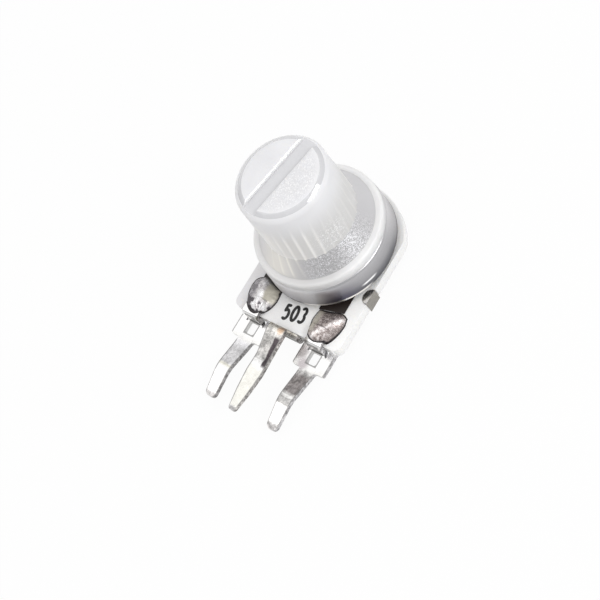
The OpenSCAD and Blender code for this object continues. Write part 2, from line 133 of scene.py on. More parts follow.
class Nodes:
    """Short way to write a node tree: add nodes by type, without ShaderNode, and link sockets by name."""

    def __init__(self, tree):
        self.tree = tree
        tree.nodes.clear()

    def add(self, kind, inputs=None, **settings):
        node = self.tree.nodes.new("ShaderNode" + kind)
        for key, value in settings.items():
            setattr(node, key, value)
        for key, value in (inputs or {}).items():
            self.put(node, key, value)
        return node

    def put(self, node, key, value):
        socket = node.inputs[key]
        if isinstance(value, bpy.types.NodeSocket):
            self.tree.links.new(value, socket)
        elif isinstance(value, (tuple, list)) and len(value) == 3 and socket.type == "RGBA":
            socket.default_value = (*value, 1)
        else:
            socket.default_value = value

    def coordinates(self):
        """Position on the object in millimetres."""
        source = self.add("TexCoord").outputs["Object"]
        scaled = self.add("VectorMath", {0: source, 3: 1 / MM}, operation="SCALE")
        return scaled.outputs[0]

    def noise(self, vector, scale, detail=3, roughness=0.5, distortion=0):
        """Noise with scale features per millimetre."""
        node = self.add("TexNoise", {"Vector": vector, "Scale": scale, "Detail": detail,
                                               "Roughness": roughness, "Distortion": distortion})
        return node.outputs["Fac"]

    def ramp(self, factor, *stops):
        """Colour ramp. Each stop is a place and a grey value or a colour."""
        node = self.add("ValToRGB", {"Fac": factor})
        elements = node.color_ramp.elements
        while len(elements) < len(stops):
            elements.new(0.5)
        for element, (place, value) in zip(elements, stops):
            element.position = place
            element.color = (*value, 1) if isinstance(value, tuple) else (value, value, value, 1)
        return node.outputs["Color"]

    def mix(self, factor, a, b, blend="MIX"):
        node = self.add("Mix", data_type="RGBA", blend_type=blend)
        for socket, value in ((node.inputs[0], factor), (node.inputs[6], a), (node.inputs[7], b)):
            if isinstance(value, bpy.types.NodeSocket):
                self.tree.links.new(value, socket)
            else:
                socket.default_value = (*value, 1) if isinstance(value, tuple) else value
        return node.outputs[2]

    def maths(self, operation, a, b=0.0, clamp=False):
        return self.add("Math", {0: a, 1: b}, operation=operation, use_clamp=clamp).outputs[0]

    def plus(self, a, b, clamp=False):
        return self.maths("ADD", a, b, clamp)

    def minus(self, a, b):
        return self.maths("SUBTRACT", a, b)

    def times(self, a, b, clamp=False):
        return self.maths("MULTIPLY", a, b, clamp)

    def bump(self, height, depth, normal=None):
        """Bump whose full height is depth millimetres."""
        inputs = {"Height": height, "Distance": depth * MM, "Strength": 1.0}
        if normal is not None:
            inputs["Normal"] = normal
        return self.add("Bump", inputs).outputs["Normal"]

    def split(self, vector):
        """X, Y and Z of a vector."""
        return self.add("SeparateXYZ", {"Vector": vector}).outputs

    def between(self, value, low, high):
        """0 below low, 1 above high and a smooth step between them. low may be the larger."""
        node = self.add("MapRange", {"Value": value, "From Min": low, "From Max": high},
                        interpolation_type="SMOOTHSTEP")
        return node.outputs["Result"]

    def near(self, where, centre, reach):
        """1 at a point given in millimetres, falling to 0 at a distance of reach."""
        apart = self.add("VectorMath", {0: where, 1: centre}, operation="DISTANCE")
        return self.between(apart.outputs["Value"], reach, reach * 0.35)

    def facets(self, where, scale, spread):
        """Colour of small cells, and a normal that is tilted at random in each of them."""
        cells = self.add("TexVoronoi", {"Vector": where, "Scale": scale}).outputs["Color"]
        tilt = self.add("VectorMath", {0: cells, 1: (-0.5, -0.5, -0.5)}, operation="ADD").outputs[0]
        normal = self.add("NewGeometry").outputs["Normal"]
        scaled = self.add("VectorMath", {0: tilt, 3: spread}, operation="SCALE").outputs[0]
        added = self.add("VectorMath", {0: normal, 1: scaled}, operation="ADD").outputs[0]
        return cells, self.add("VectorMath", {0: added}, operation="NORMALIZE").outputs[0]

    def facing(self):
        """Normal of the surface along the object's own axes."""
        return self.split(self.add("TexCoord").outputs["Normal"])

    def attribute(self, name):
        """A number that tag() or a maker stored on the mesh."""
        return self.add("Attribute", attribute_name=name, attribute_type="GEOMETRY").outputs["Fac"]

    def surface(self, shader):
        self.add("OutputMaterial", {"Surface": shader})


def material(name):
    made = bpy.data.materials.new(name)
    made.use_nodes = True
    return made, Nodes(made.node_tree)


def principled(nodes, **inputs):
    """Principled shader. Underscores in the names stand for spaces."""
    return nodes.add("BsdfPrincipled", {k.replace("_", " "): v for k, v in inputs.items()})


def finish_with(nodes, shader):
    nodes.surface(shader.outputs[0])


def ceramic_material():
    """Glossy white ceramic, with painted shade that makes it darker at the lower left and lighter to the
    right.
    """
    made, n = material("white_ceramic")
    where = n.coordinates()
    cloud = n.noise(where, 0.5, 2)
    grain = n.noise(where, 14, 4, 0.6)
    x, y, _ = n.split(where)
    # Painted shade: the colour ramps from grey at the lower left to white at the right
    across = n.plus(x, n.times(y, 0.3))
    place = n.plus(n.maths("DIVIDE", across, 11.0), n.times(cloud, 0.08))
    place = n.plus(place, 0.5)
    colour = n.ramp(place, (0.02, (0.77, 0.76, 0.775)), (0.36, (0.84, 0.835, 0.83)),
                    (0.62, (0.95, 0.945, 0.93)), (0.75, (0.99, 0.985, 0.975)))
    rough = n.ramp(grain, (0.3, 0.24), (0.75, 0.36))
    shader = principled(n, Base_Color=colour, Roughness=rough, Normal=n.bump(grain, 0.003),
                        Subsurface_Weight=0.3, Subsurface_Scale=0.6 * MM, Subsurface_Radius=(1, 0.95, 0.85),
                        Coat_Weight=0.3, Coat_Roughness=0.1)
    finish_with(n, shader)
    return made


def track_material():
    made, n = material("resistive_ink")
    where = n.coordinates()
    grain = n.noise(where, 22, 5, 0.65)
    colour = n.ramp(grain, (0.35, (0.006, 0.004, 0.004)), (0.8, (0.04, 0.026, 0.02)))
    shader = principled(n, Base_Color=colour, Roughness=n.ramp(grain, (0.3, 0.35), (0.7, 0.55)),
                        Normal=n.bump(grain, 0.006))
    finish_with(n, shader)
    return made


def tin_material(name, bands, side, widths, centre_x=0.0, window=None, spots=(), shaded_edge_band=None, hem=False):
    """Tin plate over brass, its tones along Y painted reflections and shade, mottled where that tone is dark,
    and side in colour on its cut sides.

    bands gives the painted tone at places along Y, and widths the half width there, both in millimetres: a
    dark line of painted shade runs along the edge. window is the half size and the middle's Y of a hole,
    which has the same line.
    A spot is a place, a reach and a colour.
    """
    made, n = material(name)
    where = n.coordinates()
    x, y, z = n.split(where)
    patches = n.noise(where, 1.7, 4, 0.6, 0.5)
    speckle = n.noise(where, 5, 4, 0.7)
    fine = n.noise(where, 16, 4, 0.7)
    low, high = bands[0][0], bands[-1][0]
    along = n.add("MapRange", {"Value": n.plus(y, n.times(patches, 0.3)),
                                         "From Min": low + 0.15, "From Max": high + 0.15}).outputs["Result"]
    colour = n.ramp(along, *[((place - low) / (high - low), tone) for place, tone in bands])
    # Painted shade: a dark band inside the lead's right edge
    if shaded_edge_band:
        inner, reach, y_low, y_high, tone = shaded_edge_band
        inside = n.times(n.between(y, y_low - 0.2, y_low + 0.2), n.between(y, y_high + 0.1, y_high - 0.1))
        wobble = n.plus(x, n.times(patches, 0.25))
        colour = n.mix(n.times(inside, n.between(wobble, inner, inner + reach)), colour, tone)
    # Mottling shows where the painted tone is dark
    dark_tone_share = n.times(n.minus(0.96, n.split(colour)[1]), 3.0, clamp=True)
    mottled = n.plus(n.times(n.ramp(patches, (0.36, 0.0), (0.6, 1.0)), 0.55),
                     n.times(n.ramp(speckle, (0.36, 0.0), (0.64, 1.0)), 0.75))
    level = n.plus(0.45, n.times(mottled, 0.85))
    colour = n.mix(dark_tone_share, colour, n.mix(1.0, colour, level, blend="MULTIPLY"))
    if hem:
        front = n.times(n.between(y, -6.15, -6.25), n.between(z, 0.12, -0.05))
        olive = n.ramp(n.noise(where, 3.2, 4, 0.6), (0.35, (0.03, 0.032, 0.022)), (0.5, (0.12, 0.115, 0.07)),
                       (0.66, (0.36, 0.33, 0.26)))
        colour = n.mix(front, colour, olive)
    for place, reach, tone in spots:
        colour = n.mix(n.near(where, place, reach), colour, tone)
    bottom, top = widths[0][0], widths[-1][0]
    height = n.maths("DIVIDE", n.minus(y, bottom), top - bottom)
    profile = [((place - bottom) / (top - bottom), width / 2) for place, width in widths]
    half = n.split(n.ramp(height, *profile))[0]
    aside = n.maths("ABSOLUTE", n.minus(x, centre_x))
    edge = n.minus(n.times(half, 2.0), aside)
    # Painted shade: a dark line inside the lead's edges, which the window gets too
    outline = n.between(n.plus(edge, n.times(speckle, 0.05)), 0.12, 0.06)
    if window:
        half_x, half_y, middle_y = window
        past_x = n.minus(aside, half_x)
        past_y = n.minus(n.maths("ABSOLUTE", n.minus(y, middle_y)), half_y)
        past = n.maths("MAXIMUM", past_x, past_y)
        outline = n.maths("MAXIMUM", outline, n.between(past, 0.11, 0.05))
        hole = n.between(past, 0.05, 0.03)
    outline = n.times(outline, n.between(y, LEAD_EDGE_Y - 0.1, LEAD_EDGE_Y - 0.2))
    painted_edge_line = n.mix(speckle, (0.14, 0.14, 0.14), (0.4, 0.39, 0.38))
    colour = n.mix(n.times(outline, 0.85), colour, painted_edge_line)
    sideways = n.maths("ABSOLUTE", n.facing()[0])
    cut = n.mix(n.ramp(speckle, (0.42, 0.0), (0.56, 1.0)), side[0], side[1])
    cut = n.mix(1.0, cut, level, blend="MULTIPLY")
    cut = n.mix(n.between(y, -5.2, -5.0), cut, n.mix(speckle, (0.28, 0.27, 0.25), (0.46, 0.44, 0.4)))
    # The window's cut walls are painted near white: painted light
    if window:
        cut = n.mix(hole, cut, (0.93, 0.93, 0.92))
    colour = n.mix(n.between(sideways, 0.6, 0.85), colour, cut)
    rough = n.ramp(n.mix(0.3, patches, fine), (0.36, 0.3), (0.55, 0.2), (0.7, 0.14))
    shader = principled(n, Base_Color=colour, Metallic=1.0, Roughness=rough,
                        Normal=n.bump(fine, 0.002, n.bump(patches, 0.012)))
    finish_with(n, shader)
    return made


def mottled_material(name, mottling, dark, bright, depth, **finish):
    """One fine noise gives the colour and the bump. mottling is its scale, detail and roughness."""
    made, n = material(name)
    fine = n.noise(n.coordinates(), *mottling)
    finish_with(n, principled(n, Base_Color=n.ramp(fine, dark, bright), Normal=n.bump(fine, depth), **finish))
    return made


def silver_material():
    return mottled_material("silver_ink", (18, 4, 0.7), (0.3, (0.32, 0.3, 0.28)), (0.7, (0.6, 0.58, 0.55)),
                            0.006, Metallic=0.8, Roughness=0.5)


def solder_material(name, stops, facet, grain_size, grain_tilt):
    """Solder whose colour follows the attribute tone, which holds painted light and shade.

    The attribute plain is 1 on its smooth facet, and flux is 1 in the dark line round the joint.
    """
    made, n = material(name)
    where = n.coordinates()
    fine = n.noise(where, 20, 4, 0.7)
    cells, tilted = n.facets(where, grain_size, grain_tilt)
    plain = n.attribute("plain")
    grain = n.times(n.minus(n.split(cells)[0], 0.5), n.minus(1.0, plain))
    tone = n.plus(n.attribute("tone"), n.times(grain, 0.34))
    metal = n.mix(plain, n.ramp(tone, *stops), facet)
    flux = n.attribute("flux")
    colour = n.mix(flux, metal, (0.012, 0.008, 0.01))
    bare = n.minus(0.55, n.times(plain, 0.5))
    metallic = n.times(n.minus(1.0, flux), bare)
    shader = principled(n, Base_Color=colour, Metallic=metallic,
                        Roughness=n.ramp(fine, (0.3, 0.2), (0.7, 0.32)),
                        Normal=n.bump(fine, 0.004, tilted))
    finish_with(n, shader)
    return made


# Place of the painted highlight, a small bright streak on the cap's rolled edge
GLINT_AT = (4.1, -1.4, 1.02)


def cap_material():
    """Satin nickel with painted reflections: darker towards the rim, most where the attribute shade says so,
    with a painted reflection of the dark track and a lip painted bright or dark.

    These tones and the streak are painted where the photograph shows them, so they turn with the rotor.
    """
    made, n = material("polished_cap")
    where = n.coordinates()
    fine = n.noise(where, 9, 3, 0.6)
    height = n.times(n.split(where)[2], 0.4)
    # Both greys get darker towards the rim: painted reflection
    light = n.ramp(height, (0.22, (0.42, 0.41, 0.42)), (0.5, (0.56, 0.55, 0.56)), (0.85, (0.72, 0.71, 0.72)))
    dark = n.ramp(height, (0.22, (0.1, 0.1, 0.115)), (0.36, (0.22, 0.22, 0.235)), (0.52, (0.42, 0.415, 0.43)),
                  (0.85, (0.55, 0.545, 0.56)))
    tone = n.mix(n.attribute("shade"), light, dark)
    # Painted reflection of the dark track, strongest low on the skirt
    track_reflection = n.times(n.attribute("track_reflection"), n.ramp(height, (0.36, 0.85), (0.64, 0.5), (0.84, 0.12)))
    tone = n.mix(track_reflection, tone, (0.075, 0.07, 0.11))
    colour = n.mix(n.ramp(fine, (0.3, 0.0), (0.8, 0.12)), tone, (0.2, 0.2, 0.22))
    # Painted lip round the rim: lit where the attribute lip is 1, dark elsewhere
    lip = n.between(height, 0.285, 0.265)
    colour = n.mix(lip, colour, n.mix(n.attribute("lip"), (0.12, 0.12, 0.13), (0.95, 0.93, 0.9)))
    glint = n.times(n.near(where, GLINT_AT, 0.7), n.between(height, 0.45, 0.42))
    glint = n.times(glint, n.between(height, 0.36, 0.39))
    colour = n.mix(glint, colour, (1.0, 1.0, 1.0))
    polish = n.attribute("shade")
    metal = n.plus(0.45, n.times(polish, 0.5))
    rough = n.minus(n.ramp(fine, (0.3, 0.48), (0.7, 0.56)), n.times(polish, 0.2))
    metal = n.times(metal, n.minus(1.0, glint))
    finish_with(n, principled(n, Base_Color=colour, Metallic=metal, Roughness=rough,
                              Normal=n.bump(fine, 0.001)))
    return made


def crystal_material():
    """Clear skirt over grainy plating, which sparkles.

    The attribute grain is 1 where the light shows the plating's coarse grain, which is painted light, and
    sparkle gives painted highlights. shade is its grey, painted reflection and shade; glow is painted warm
    light, and ridge a painted highlight on the ribs.
    All of them are painted on the rotor and turn with it.
    """
    made, n = material("crystal_skirt")
    where = n.coordinates()
    grain, sparkle, shade = n.attribute("grain"), n.attribute("sparkle"), n.attribute("shade")
    cells, tilted = n.facets(where, 23, n.times(grain, 0.4))
    red = n.split(cells)[0]
    base = n.ramp(shade, (0.0, (0.0, 0.0, 0.0)), (1.0, (0.985, 0.975, 1.0)))
    plain = n.mix(n.attribute("glow"), base, (0.78, 0.755, 0.71))
    spread = n.plus(0.8, n.times(n.maths("POWER", red, 2.0), 0.62))
    coarse = n.mix(1.0, base, spread, blend="MULTIPLY")
    coarse = n.mix(n.times(sparkle, n.between(red, 0.5, 0.68)), coarse, (0.97, 0.97, 1.0))
    fleck = n.between(n.split(cells)[1], 0.86, 0.94)
    coarse = n.mix(n.times(fleck, 0.7), coarse, (0.93, 0.93, 0.96))
    colour = n.mix(grain, plain, coarse)
    colour = n.mix(n.attribute("ridge"), colour, (0.86, 0.84, 0.78))
    flake = n.times(grain, n.between(red, 0.7, 0.85))
    shader = principled(n, Base_Color=colour, Metallic=n.times(flake, 0.6), Roughness=0.32,
                        Normal=tilted, Coat_Weight=0.4, Coat_Roughness=0.1)
    finish_with(n, shader)
    return made


def brass_material(name, dark, bright):
    return mottled_material(name, (12, 3, 0.6), (0.3, dark), (0.7, bright), 0.003,
                            Metallic=1.0, Roughness=0.28)


def milk_material():
    """Frosted milky plastic of the knob.

    The attribute ridge gives painted highlights on its ribs, glow painted warm light, and shade the painted
    shade of the clear flange. The grey between the ribs is painted shade, and grain marks where the light
    shows the frost, which is painted light.
    """
    made, n = material("milky_plastic")
    where = n.coordinates()
    height = n.split(where)[2]
    low = n.between(height, 7.9, 5.6)
    cloud = n.noise(where, 0.45, 2)
    frost = n.noise(where, 12, 5, 0.7)
    smooth = n.ramp(cloud, (0.3, (0.765, 0.765, 0.785)), (0.7, (0.815, 0.815, 0.83)))
    # Painted shade between the ribs, and painted warm light where glow is 1
    valley_shade = n.mix(n.attribute("glow"), (0.67, 0.665, 0.66), (0.99, 0.97, 0.945))
    ribbed = n.mix(n.attribute("ridge"), valley_shade, (0.96, 0.945, 0.92))
    colour = n.mix(low, smooth, ribbed)
    grain = n.attribute("grain")
    cells, tilted = n.facets(where, 19, n.times(grain, 0.16))
    frosted = n.times(grain, n.ramp(n.split(cells)[0], (0.2, 0.0), (0.9, 0.3)))
    colour = n.mix(frosted, colour, (0.5, 0.5, 0.51))
    fleck = n.times(grain, n.between(n.split(cells)[1], 0.76, 0.9))
    colour = n.mix(fleck, colour, (0.97, 0.97, 0.98))
    clear = n.ramp(n.attribute("shade"), (0.0, (0.0, 0.0, 0.0)), (1.0, (1.0, 0.99, 0.985)))
    colour = n.mix(n.between(height, 3.1, 2.95), colour, clear)
    shader = principled(n, Base_Color=colour, Roughness=n.ramp(frost, (0.3, 0.28), (0.7, 0.44)),
                        Normal=n.bump(frost, 0.004, tilted),
                        Subsurface_Weight=0.6, Subsurface_Scale=1.2 * MM, Subsurface_Radius=(1, 0.97, 0.92))
    finish_with(n, shader)
    return made


def edge_material(name, low, high, rough):
    """Smoother plastic of the edge round the top and of the slot."""
    made, n = material(name)
    where = n.coordinates()
    frost = n.noise(where, 10, 4, 0.6)
    shader = principled(n, Base_Color=n.ramp(frost, (0.3, low), (0.7, high)),
                        Roughness=rough, Normal=n.bump(frost, 0.001), Subsurface_Weight=0.4,
                        Subsurface_Scale=0.8 * MM, Subsurface_Radius=(1, 0.98, 0.96),
                        Coat_Weight=1.0, Coat_Roughness=0.06, Coat_IOR=1.65)
    finish_with(n, shader)
    return made


def ink_material():
    return mottled_material("black_ink", (30, 3, 0.6), (0.3, 0.003), (0.8, 0.012), 0.002, Roughness=0.45)


def floor_material():
    """Pale floor that keeps a soft shadow, and that the camera sees as near white."""
    made, n = material("pale_floor")
    paths = n.add("LightPath").outputs
    diffuse = n.add("BsdfDiffuse", {"Color": (0.8, 0.8, 0.8)})
    glow = n.add("Emission", {"Color": (1, 1, 1), "Strength": 1.0})
    mirrored = n.times(paths["Is Glossy Ray"], 0.3)
    share = n.plus(n.times(paths["Is Camera Ray"], 0.95), mirrored, clamp=True)
    mixed = n.add("MixShader", {0: share, 1: diffuse.outputs[0], 2: glow.outputs[0]})
    n.surface(mixed.outputs[0])
    return made


FLOOR_HALF = 600


def make_floor():
    half, z = FLOOR_HALF * MM, FLOOR_Z * MM
    corners = [(-half, -half, z), (half, -half, z), (half, half, z), (-half, half, z)]
    mesh = bpy.data.meshes.new("floor")
    mesh.from_pydata(corners, [], [(0, 1, 2, 3)])
    floor = bpy.data.objects.new("floor", mesh)
    link(floor)
    floor.data.materials.append(floor_material())


def make_world():
    """White all round, and a little darker low at the sides so that metal has something to show."""
    world = bpy.data.worlds.new("studio")
    world.use_nodes = True
    bpy.context.scene.world = world
    n = Nodes(world.node_tree)
    direction = n.add("TexCoord").outputs["Generated"]
    height = n.split(direction)[2]
    tone = n.ramp(height, (0.0, 0.46), (0.25, 0.52), (0.62, 0.62), (0.77, 0.97), (1.0, 1.0))
    studio = n.add("Background", {"Color": tone, "Strength": 1.1})
    white = n.add("Background", {"Color": (1, 1, 1), "Strength": 1.0})
    seen = n.add("LightPath").outputs["Is Camera Ray"]
    mixed = n.add("MixShader", {0: seen, 1: studio.outputs[0], 2: white.outputs[0]})
    n.add("OutputWorld", {"Surface": mixed.outputs[0]})


make_floor()
make_world()


def face_outward(mesh):
    """Turns every face of a closed mesh outwards."""
    rebuilt = bmesh.new()
    rebuilt.from_mesh(mesh)
    bmesh.ops.recalc_face_normals(rebuilt, faces=rebuilt.faces)
    rebuilt.to_mesh(mesh)
    rebuilt.free()


def piece(name, vertices, faces, body, finish, replaces=(), sharp=None):
    """A mesh piece given in millimetres, which rides on a body."""
    mesh = bpy.data.meshes.new(name)
    mesh.from_pydata([tuple(c * MM for c in v) for v in vertices], [], faces)
    mesh.validate()
    face_outward(mesh)
    made = bpy.data.objects.new(name, mesh)
    link(made)
    for one in finish if isinstance(finish, (list, tuple)) else [finish]:
        mesh.materials.append(one)
    mesh.shade_smooth()
    if sharp is not None:
        mesh.set_sharp_from_angle(angle=math.radians(sharp))
    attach(made, body)
    if replaces:
        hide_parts(*replaces)
    return made


def tag(mesh, name, value_of):
    """Stores a number for each vertex, worked out from its place in millimetres."""
    layer = mesh.attributes.new(name, "FLOAT", "POINT")
    layer.data.foreach_set("value", [value_of(v.co / MM) for v in mesh.vertices])


def step(low, high, value):
    """Smooth step from 0 at low to 1 at high."""
    t = min(max((value - low) / (high - low), 0.0), 1.0)
    return t * t * (3 - 2 * t)


def arc(centre, radius, start, end, steps):
    """Points of an arc from one angle to another, in degrees."""
    angles = [math.radians(start + (end - start) * k / steps) for k in range(steps + 1)]
    return [(centre[0] + radius * math.cos(a), centre[1] + radius * math.sin(a)) for a in angles]


def line(first, last, steps):
    """Points from first to last, without first."""
    return [tuple(f + (g - f) * k / steps for f, g in zip(first, last)) for k in range(1, steps + 1)]


def lathe(profile, steps, bulge=None, loop=False):
    """Turns points of (radius, height) round Z. Gives vertices, and faces in one run of steps per segment."""
    vertices, rings, faces = [], [], []
    for radius, height in profile:
        count = 1 if radius < 1e-6 else steps
        rings.append(range(len(vertices), len(vertices) + count))
        for k in range(count):
            a = 2 * math.pi * k / steps
            out = radius + (bulge(height, a) if bulge and count > 1 else 0)
            vertices.append((out * math.cos(a), out * math.sin(a), height))
    pairs = list(zip(rings, rings[1:])) + ([(rings[-1], rings[0])] if loop else [])
    for inner, outer in pairs:
        for k in range(steps):
            corners = [inner[k % len(inner)], inner[(k + 1) % len(inner)],
                       outer[(k + 1) % len(outer)], outer[k % len(outer)]]
            faces.append(list(dict.fromkeys(corners)))
    return vertices, faces


def dress(node, finish, edge=0.0, steps=2, line_finish=None):
    """Gives a CAD node its finish and, where edge is set, softly rounded edges of that width.

    line_finish is the finish of those rounded edges, where it isn't the node's own.
    """
    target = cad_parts[node]
    target.data.materials.clear()
    target.data.materials.append(finish)
    if line_finish:
        target.data.materials.append(line_finish)
    if edge:
        rounding = target.modifiers.new("edges", "BEVEL")
        rounding.width = edge * MM
        rounding.segments = steps
        rounding.limit_method = "ANGLE"
        rounding.angle_limit = math.radians(35)
        rounding.material = 1 if line_finish else -1


# Knob: turned form with fine ribs, a screwdriver slot cut across its top, and a clear skirt
SLOT_TURN = math.radians(-11.5)
SLOT_W, SLOT_FLOOR_Z, SLOT_CHAMFER = 1.05, KNOB_TOP_Z - 0.22, 0.055
# Half the length of the block that cuts the slot, and how far it stands above the knob
CUTTER_REACH, CUTTER_SPARE = 4.5, 1
RIB_COUNT, RIB_PHASE, RIB_HEAD_Z, RIB_WIDTH = 30, math.radians(-0.8), 7.9, math.radians(1.35)
# Points round the knob for each rib, a rib's height on the skirt, and what is added to it on the grip
POINTS_PER_RIB, SKIRT_RIB, GRIP_RIB_EXTRA = 16, 0.018, 0.017
# Lean of the ribs for each millimetre of height
RIB_TWIST, SKIRT_TWIST = math.radians(1.9), math.radians(7)
# How far the top is moved towards +X, and the height over which the move fades out
TOP_SHIFT, EDGE_FALL = 0.12, 0.5
GRIP_HEAD_R, GRIP_FOOT_R, GRIP_FOOT_Z = 2.87, 2.98, 4.05
FLANGE_TOP_Z, FLANGE_LOW_Z, FLANGE_ROUND = 2.94, 2.3, 0.16
# Height of the hub's foot, and the pocket in it for the rivet's head
HUB_FOOT_Z, POCKET_R, POCKET_Z = 0.56, 1.58, 0.82
# Side on which the grip shows painted warm light, in degrees from +X
WARM_SIDE = -122
# Places of the knob's materials in its list
MILK, CRYSTAL, EDGE, LIT_WALL = range(4)
# Rings of faces, from the flat top outwards, that show the clear edge
EDGE_RINGS = 4


def rib_share(height, angle):
    """1 on a rib's crest, 0 between ribs and above their heads."""
    pitch = 2 * math.pi / RIB_COUNT
    lean = (height - GRIP_FOOT_Z) * (RIB_TWIST if height > GRIP_FOOT_Z else -SKIRT_TWIST)
    apart = (angle - RIB_PHASE - lean + pitch / 2) % pitch - pitch / 2
    fade = step(RIB_HEAD_Z, GRIP_FOOT_Z + 1.9, height) * step(FLANGE_TOP_Z, FLANGE_TOP_Z + 0.3, height)
    return fade * math.exp(-(apart / RIB_WIDTH) ** 2)


def rib_bulge(height, angle):
    on_grip = step(GRIP_FOOT_Z - 0.25, GRIP_FOOT_Z, height)
    return rib_share(height, angle) * (SKIRT_RIB + GRIP_RIB_EXTRA * on_grip)


def make_knob():
    upper = [(radius, KNOB_TOP_Z) for radius in (0, 1.2, 2.0, 2.37)]
    falls = [(2.4, 0.008), (2.43, 0.028), (2.54, 0.113), (2.65, 0.198), (2.725, 0.265), (2.79, 0.335),
             (2.845, 0.415), (GRIP_HEAD_R + 0.016, EDGE_FALL)]
    rounding = [(radius, KNOB_TOP_Z - fall) for radius, fall in falls]
    grip = line(rounding[-1], (GRIP_FOOT_R, GRIP_FOOT_Z + 0.06), 34)
    foot = [(GRIP_FOOT_R + 0.015, GRIP_FOOT_Z + 0.01), (GRIP_FOOT_R + 0.05, GRIP_FOOT_Z - 0.05)]
    cone = line(foot[-1], (FLANGE_R - 0.43, FLANGE_TOP_Z + 0.03), 10)
    flange = [(FLANGE_R - 0.39, FLANGE_TOP_Z + 0.004), (FLANGE_R - 0.3, FLANGE_TOP_Z)]
    flange += arc((FLANGE_R - FLANGE_ROUND, FLANGE_TOP_Z - FLANGE_ROUND), FLANGE_ROUND, 90, 0, 6)
    flange += [(FLANGE_R, 2.6), (FLANGE_R, FLANGE_LOW_Z)]
    under = [(3.76, FLANGE_LOW_Z + 0.02), (2.8, 3.13), (2.7, 3.13), (2.3, 2.82), (1.8, HUB_FOOT_Z),
             (POCKET_R, HUB_FOOT_Z), (POCKET_R, POCKET_Z), (0, POCKET_Z)]
    profile = upper + rounding + grip + foot + cone + flange + under
    steps = RIB_COUNT * POINTS_PER_RIB
    vertices, faces = lathe(profile, steps, rib_bulge)
    vertices = [shifted(v) for v in vertices]
    first_cone = len(upper + rounding + grip) - 1
    last_cone = first_cone + len(foot + cone)
    first_edge = len(upper) - 1
    solid = piece("knob_body", vertices, faces, "rotor", [milk, crystal, edge, lit_wall],
                  ["knob"])
    kinds = []
    for index in range(len(faces)):
        ring = index // steps
        on_edge = first_edge <= ring < first_edge + EDGE_RINGS
        kinds.append(CRYSTAL if first_cone < ring < last_cone else EDGE if on_edge else MILK)
    solid.data.polygons.foreach_set("material_index", kinds)
    cut_slot(solid)
    solid.data.set_sharp_from_angle(angle=math.radians(38))
    for name, value_of in (("ridge", rib_highlight_share), ("glow", glow_share), ("grain", lit_grain_share),
                           ("sparkle", sparkle_share), ("shade", skirt_shade)):
        tag(solid.data, name, value_of)


def shifted(v):
    """Moves the knob's top towards +X, the whole of TOP_SHIFT at the top and nothing EDGE_FALL below it."""
    share = max(0.0, 1 - (KNOB_TOP_Z - v[2]) / EDGE_FALL)
    return v[0] + TOP_SHIFT * share, v[1], v[2]


def direction(v):
    """Angle round the axis in degrees, from +X."""
    return math.degrees(math.atan2(v.y, v.x))


def bell(value, centre, width):
    return math.exp(-(((value - centre + 180) % 360 - 180) / width) ** 2)


def rib_highlight_share(v):
    """Painted highlights on the ribs: strong on the warm side, fading towards +X, as the photograph's light
    shows them.
    """
    side = 1 - 0.85 * step(-50, -20, direction(v)) * step(75, 40, direction(v))
    if v.z < GRIP_FOOT_Z:
        side = bell(direction(v), -90, 16)
    return min(1.0, 1.2 * side * rib_share(v.z, math.radians(direction(v))))


def glow_share(v):
    """Painted warm light inside the plastic. On the skirt it shows in two of the ribs only."""
    on_skirt = step(GRIP_FOOT_Z, GRIP_FOOT_Z - 0.1, v.z)
    return bell(direction(v), WARM_SIDE, 50) * (1 - on_skirt) + bell(direction(v), -100, 22) * on_skirt


def lit_grain_share(v):
    """Coarse grain on the skirt from below to the right as seen from the front, and faint grain above it.
    It is painted light: the grain shows only on the side that the light falls on.
    """
    angle = direction(v)
    if v.z < GRIP_FOOT_Z + 0.05:
        return step(-74, -48, angle) * step(32, 8, angle)
    if v.z > KNOB_TOP_Z - 0.02:
        return 0.7 * step(-0.4, 0.6, v.x) * step(2.4, 2.2, math.hypot(v.x, v.y))
    return 0.9 * bell(angle, -18, 20) * step(6.6, 5.4, v.z) * step(4.1, 4.5, v.z)


# Painted highlights where the grain of the skirt sparkles
def sparkle_share(v):
    return bell(direction(v), -8, 13)


# Greys round the axis, at angles in degrees from +X: painted reflection and shade on the skirt and on the
# clear flange
SKIRT_STOPS = [(-180, 0.6), (-110, 0.68), (-88, 0.58), (-70, 0.48), (-52, 0.46), (-38, 0.44), (-24, 0.48),
               (-8, 0.56), (10, 0.55), (24, 0.57), (50, 0.6), (180, 0.6)]
FLANGE_STOPS = [(-180, 0.88), (-130, 0.82), (-110, 0.78), (-85, 0.72), (-60, 0.7), (-42, 0.74), (-26, 0.9),
                (-10, 0.97), (10, 0.9), (40, 0.88), (180, 0.88)]


def skirt_shade(v):
    """Grey of the plating under the skirt and under the clear flange, round the axis: painted reflection and
    shade.
    """
    stops = FLANGE_STOPS if v.z < FLANGE_TOP_Z + 0.01 else SKIRT_STOPS
    angle = direction(v)
    for (low, a), (high, b) in zip(stops, stops[1:]):
        if angle <= high:
            return a + (b - a) * (angle - low) / (high - low)
    return stops[-1][1]


